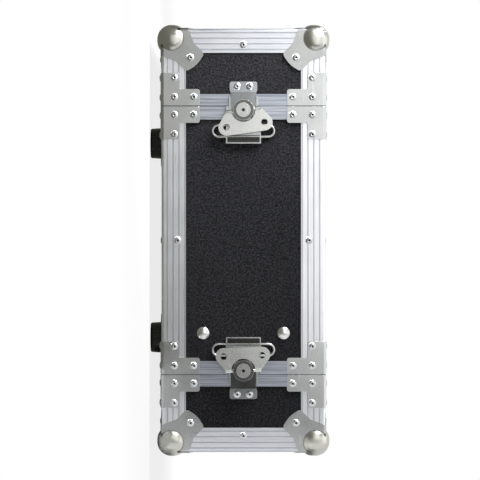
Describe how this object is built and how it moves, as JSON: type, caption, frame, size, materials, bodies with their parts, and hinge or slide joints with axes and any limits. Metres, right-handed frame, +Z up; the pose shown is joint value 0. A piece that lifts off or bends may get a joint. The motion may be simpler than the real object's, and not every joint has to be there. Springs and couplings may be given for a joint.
{
  "type": "rack case",
  "caption": "Low flight case for rack gear: laminated panels in aluminium edges, ball corners, rubber feet, lift-off front and rear lids on butterfly latches, threaded rack rails.",
  "frame": {"origin": "on the floor under the middle of the case", "axes": "+X to the case's right-hand side along the rack width, -Y out of the front lid, +Z up"},
  "size_m": [0.5428, 0.533, 0.2225],
  "materials": {
    "laminate": "fine-grained black laminate",
    "extrusion": "satin anodised",
    "zinc_steel": "zinc plated, satin",
    "rivet": "plain",
    "rubber": "matt",
    "rail_steel": "black powder coat"
  },
  "bodies": {
    "case_body": {"body_top_panel": "laminate", "body_bottom_panel": "laminate", "body_left_panel": "laminate", "body_right_panel": "laminate", "body_edge_extrusions": "extrusion", "body_front_frame": "extrusion", "body_rear_frame": "extrusion", "body_corner_braces": "zinc_steel", "body_rivets": "rivet", "rubber_feet": "rubber", "foot_washers": "zinc_steel", "foot_screws": "zinc_steel", "left_rack_rail": "rail_steel", "right_rack_rail": "rail_steel", "rail_bolts": "zinc_steel", "rail_nuts": "zinc_steel", "latch_base_rivets": "rivet", "front_left_latch_base": "zinc_steel", "front_left_latch_wire": "zinc_steel", "front_right_latch_base": "zinc_steel", "front_right_latch_wire": "zinc_steel", "rear_left_latch_base": "zinc_steel", "rear_left_latch_wire": "zinc_steel", "rear_right_latch_base": "zinc_steel", "rear_right_latch_wire": "zinc_steel"},
    "front_lid": {"front_lid_panel": "laminate", "front_lid_walls": "laminate", "front_lid_face_extrusions": "extrusion", "front_lid_depth_extrusions": "extrusion", "front_lid_frame": "extrusion", "front_lid_ball_corners": "zinc_steel", "front_lid_corner_braces": "zinc_steel", "front_lid_rivets": "rivet", "front_lid_keepers": "zinc_steel"},
    "rear_lid": {"rear_lid_panel": "laminate", "rear_lid_walls": "laminate", "rear_lid_face_extrusions": "extrusion", "rear_lid_depth_extrusions": "extrusion", "rear_lid_frame": "extrusion", "rear_lid_ball_corners": "zinc_steel", "rear_lid_corner_braces": "zinc_steel", "rear_lid_rivets": "rivet", "rear_lid_keepers": "zinc_steel"},
    "front_left_latch_turner": {"front_left_latch_rotor": "zinc_steel", "front_left_latch_pin": "zinc_steel"},
    "front_left_latch_wing_plate": {"front_left_latch_wings": "zinc_steel"},
    "front_left_latch_draw": {"front_left_latch_draw_plate": "zinc_steel"},
    "front_right_latch_turner": {"front_right_latch_rotor": "zinc_steel", "front_right_latch_pin": "zinc_steel"},
    "front_right_latch_wing_plate": {"front_right_latch_wings": "zinc_steel"},
    "front_right_latch_draw": {"front_right_latch_draw_plate": "zinc_steel"},
    "rear_left_latch_turner": {"rear_left_latch_rotor": "zinc_steel", "rear_left_latch_pin": "zinc_steel"},
    "rear_left_latch_wing_plate": {"rear_left_latch_wings": "zinc_steel"},
    "rear_left_latch_draw": {"rear_left_latch_draw_plate": "zinc_steel"},
    "rear_right_latch_turner": {"rear_right_latch_rotor": "zinc_steel", "rear_right_latch_pin": "zinc_steel"},
    "rear_right_latch_wing_plate": {"rear_right_latch_wings": "zinc_steel"},
    "rear_right_latch_draw": {"rear_right_latch_draw_plate": "zinc_steel"}
  },
  "joints": [
    {"name": "front_lid_off", "type": "slide", "parent": "case_body", "child": "front_lid", "axis": [0, -1, 0], "range_m": [0, 0.2]},
    {"name": "rear_lid_off", "type": "slide", "parent": "case_body", "child": "rear_lid", "axis": [0, 1, 0], "range_m": [0, 0.2]},
    {"name": "front_left_latch_turn", "type": "hinge", "parent": "case_body", "child": "front_left_latch_turner", "pos_m": [-0.2555, -0.1601, 0.116], "axis": [-1, 0, 0], "range_deg": [-2, 178]},
    {"name": "front_left_latch_fold", "type": "hinge", "parent": "front_left_latch_turner", "child": "front_left_latch_wing_plate", "pos_m": [-0.2665, -0.1601, 0.116], "axis": [0, 0.0349, 0.9994], "range_deg": [0, 90]},
    {"name": "front_left_latch_draw_slide", "type": "slide", "parent": "case_body", "child": "front_left_latch_draw", "axis": [-0.5145, -0.8575, 0], "range_m": [-0.0005, 0.0072]},
    {"name": "front_right_latch_turn", "type": "hinge", "parent": "case_body", "child": "front_right_latch_turner", "pos_m": [0.2555, -0.1601, 0.116], "axis": [1, 0, 0], "range_deg": [0, 180]},
    {"name": "front_right_latch_fold", "type": "hinge", "parent": "front_right_latch_turner", "child": "front_right_latch_wing_plate", "pos_m": [0.2665, -0.1601, 0.116], "axis": [0, 0, -1], "range_deg": [0, 90]},
    {"name": "front_right_latch_draw_slide", "type": "slide", "parent": "case_body", "child": "front_right_latch_draw", "axis": [0.5145, -0.8575, 0], "range_m": [-0.0005, 0.0072]},
    {"name": "rear_left_latch_turn", "type": "hinge", "parent": "case_body", "child": "rear_left_latch_turner", "pos_m": [-0.2555, 0.1601, 0.116], "axis": [-1, 0, 0], "range_deg": [-8, 172]},
    {"name": "rear_left_latch_fold", "type": "hinge", "parent": "rear_left_latch_turner", "child": "rear_left_latch_wing_plate", "pos_m": [-0.2665, 0.1601, 0.116], "axis": [0, -0.1392, -0.9903], "range_deg": [0, 90]},
    {"name": "rear_left_latch_draw_slide", "type": "slide", "parent": "case_body", "child": "rear_left_latch_draw", "axis": [-0.5145, 0.8575, 0], "range_m": [-0.0005, 0.0072]},
    {"name": "rear_right_latch_turn", "type": "hinge", "parent": "case_body", "child": "rear_right_latch_turner", "pos_m": [0.2555, 0.1601, 0.116], "axis": [1, 0, 0], "range_deg": [0, 180]},
    {"name": "rear_right_latch_fold", "type": "hinge", "parent": "rear_right_latch_turner", "child": "rear_right_latch_wing_plate", "pos_m": [0.2665, 0.1601, 0.116], "axis": [0, 0, 1], "range_deg": [0, 90]},
    {"name": "rear_right_latch_draw_slide", "type": "slide", "parent": "case_body", "child": "rear_right_latch_draw", "axis": [0.5145, 0.8575, 0], "range_m": [-0.0005, 0.0072]}
  ],
  "couplings": [
    {"joint": "front_left_latch_draw_slide", "follows": "front_left_latch_turn", "m_per_rad": 0.002227},
    {"joint": "front_right_latch_draw_slide", "follows": "front_right_latch_turn", "m_per_rad": 0.002227},
    {"joint": "rear_left_latch_draw_slide", "follows": "rear_left_latch_turn", "m_per_rad": 0.002227},
    {"joint": "rear_right_latch_draw_slide", "follows": "rear_right_latch_turn", "m_per_rad": 0.002227}
  ]
}
